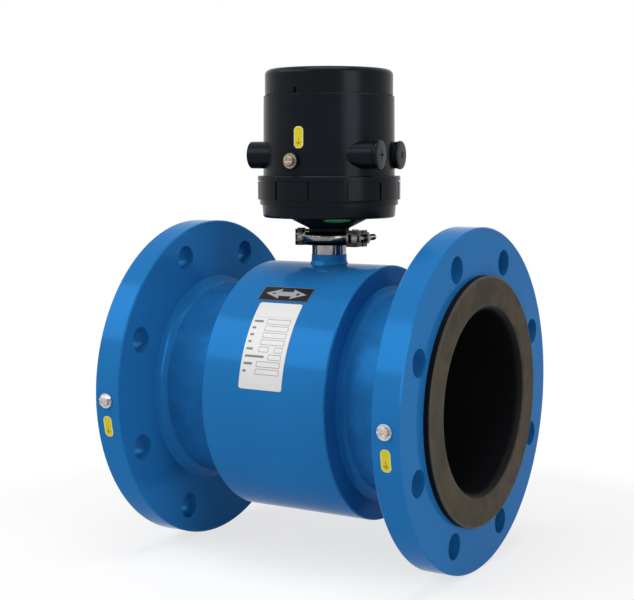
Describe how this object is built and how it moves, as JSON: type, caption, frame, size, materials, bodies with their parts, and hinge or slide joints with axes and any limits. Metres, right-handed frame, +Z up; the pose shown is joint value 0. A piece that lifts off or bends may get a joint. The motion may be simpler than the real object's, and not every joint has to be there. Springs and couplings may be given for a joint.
{
  "type": "electromagnetic flow meter",
  "caption": "Flanged, lined measuring tube with a sealed coil housing, a clamped neck and a round converter with cable entries, for metering liquid in a pipeline.",
  "frame": {"origin": "on the pipe axis, midway between the flanges", "axes": "+X along the pipe toward the outlet flange, +Z up through the neck to the converter, -Y the labelled front"},
  "size_m": [0.298, 0.2898, 0.4154],
  "materials": {
    "blue_paint": "gloss",
    "liner_rubber": "matte",
    "seal_rubber": "matte",
    "stainless_steel": "satin",
    "core_steel": "matte",
    "coil_copper": "satin",
    "bush_plastic": "matte",
    "black_plastic": "satin",
    "earth_steel": "satin",
    "yellow_label": "gloss",
    "silver_label": "satin",
    "black_label": "satin",
    "green_plastic": "gloss",
    "board_green": "satin",
    "brass": "satin",
    "connector_plastic": "matte"
  },
  "bodies": {
    "meter_tube": {"measuring_tube": "blue_paint", "inlet_flange": "blue_paint", "outlet_flange": "blue_paint", "inlet_flange_weld": "blue_paint", "outlet_flange_weld": "blue_paint", "rubber_liner": "liner_rubber", "coil_housing": "blue_paint", "inlet_end_plate": "blue_paint", "outlet_end_plate": "blue_paint", "inlet_plate_weld": "blue_paint", "outlet_plate_weld": "blue_paint", "pole_shoes": "core_steel", "coil_cores": "core_steel", "upper_coil": "coil_copper", "lower_coil": "coil_copper", "return_yoke": "core_steel", "front_electrode": "stainless_steel", "rear_electrode": "stainless_steel", "electrode_bushes": "bush_plastic", "electrode_nuts": "stainless_steel", "neck_collar": "blue_paint", "neck_weld": "blue_paint", "lower_ferrule": "stainless_steel", "ferrule_seal": "seal_rubber", "rear_clamp_half": "stainless_steel", "front_clamp_half": "stainless_steel", "clamp_hinge_pin": "stainless_steel", "swing_bolt_pin": "stainless_steel", "flange_earth_washers": "earth_steel", "inlet_earth_label": "yellow_label", "outlet_earth_label": "yellow_label", "rating_label": "silver_label", "flow_arrow_label": "black_label"},
    "clamp_bolt": {"swing_bolt": "stainless_steel"},
    "clamp_nut": {"clamp_nut": "stainless_steel"},
    "converter": {"neck_adapter": "black_plastic", "green_seal": "green_plastic", "converter_base": "black_plastic", "base_gasket": "seal_rubber", "converter_housing": "black_plastic", "lid_seal": "seal_rubber", "plug_seals": "seal_rubber", "main_board": "board_green", "power_board": "board_green", "board_standoffs": "brass", "terminal_block": "green_plastic", "power_transformer": "black_plastic", "sensor_connector": "connector_plastic", "sensor_lead": "black_plastic", "converter_earth_washer": "earth_steel", "converter_earth_label": "yellow_label"},
    "union_ring": {"union_ring": "black_plastic"},
    "lid": {"converter_lid": "black_plastic"},
    "near_plug": {"near_blanking_plug": "black_plastic"},
    "far_plug": {"far_blanking_plug": "black_plastic"},
    "left_plug": {"left_blanking_plug": "black_plastic"},
    "inlet_screw": {"inlet_earth_screw": "earth_steel"},
    "outlet_screw": {"outlet_earth_screw": "earth_steel"},
    "converter_screw": {"converter_earth_screw": "earth_steel"}
  },
  "joints": [
    {"name": "converter_swivel", "type": "hinge", "parent": "meter_tube", "child": "converter", "pos_m": [0, 0, 0.14794], "axis": [0, 0, 1], "range_deg": [-170, 170]},
    {"name": "union_ring_turn", "type": "hinge", "parent": "converter", "child": "union_ring", "pos_m": [0, 0, 0.16794], "axis": [0, 0, 1], "range_deg": [-45, 45]},
    {"name": "lid_turn", "type": "hinge", "parent": "converter", "child": "lid", "pos_m": [0, 0, 0.25364], "axis": [0, 0, 1], "range_deg": [0, 60]},
    {"name": "near_plug_turn", "type": "hinge", "parent": "converter", "child": "near_plug", "pos_m": [0.06556, -0.0252, 0.20084], "axis": [0.9925, 0.1219, 0], "continuous": true},
    {"name": "far_plug_turn", "type": "hinge", "parent": "converter", "child": "far_plug", "pos_m": [0.05975, 0.02215, 0.20084], "axis": [0.9925, 0.1219, 0], "continuous": true},
    {"name": "left_plug_turn", "type": "hinge", "parent": "converter", "child": "left_plug", "pos_m": [-0.04759, -0.03909, 0.20084], "axis": [-0.9925, -0.1219, 0], "continuous": true},
    {"name": "converter_screw_turn", "type": "hinge", "parent": "converter", "child": "converter_screw", "pos_m": [-0.0022, -0.06, 0.19594], "axis": [0, -1, 0], "continuous": true},
    {"name": "inlet_screw_turn", "type": "hinge", "parent": "meter_tube", "child": "inlet_screw", "pos_m": [-0.131, -0.145, -0.002], "axis": [0, -1, 0], "continuous": true},
    {"name": "outlet_screw_turn", "type": "hinge", "parent": "meter_tube", "child": "outlet_screw", "pos_m": [0.131, -0.145, -0.002], "axis": [0, -1, 0], "continuous": true},
    {"name": "clamp_bolt_swing", "type": "hinge", "parent": "meter_tube", "child": "clamp_bolt", "pos_m": [0.0285, -0.00475, 0.13029], "axis": [0, 0, -1], "range_deg": [0, 90]},
    {"name": "clamp_nut_turn", "type": "hinge", "parent": "clamp_bolt", "child": "clamp_nut", "pos_m": [0.0285, 0.0113, 0.13029], "axis": [0, 1, 0], "continuous": true}
  ]
}
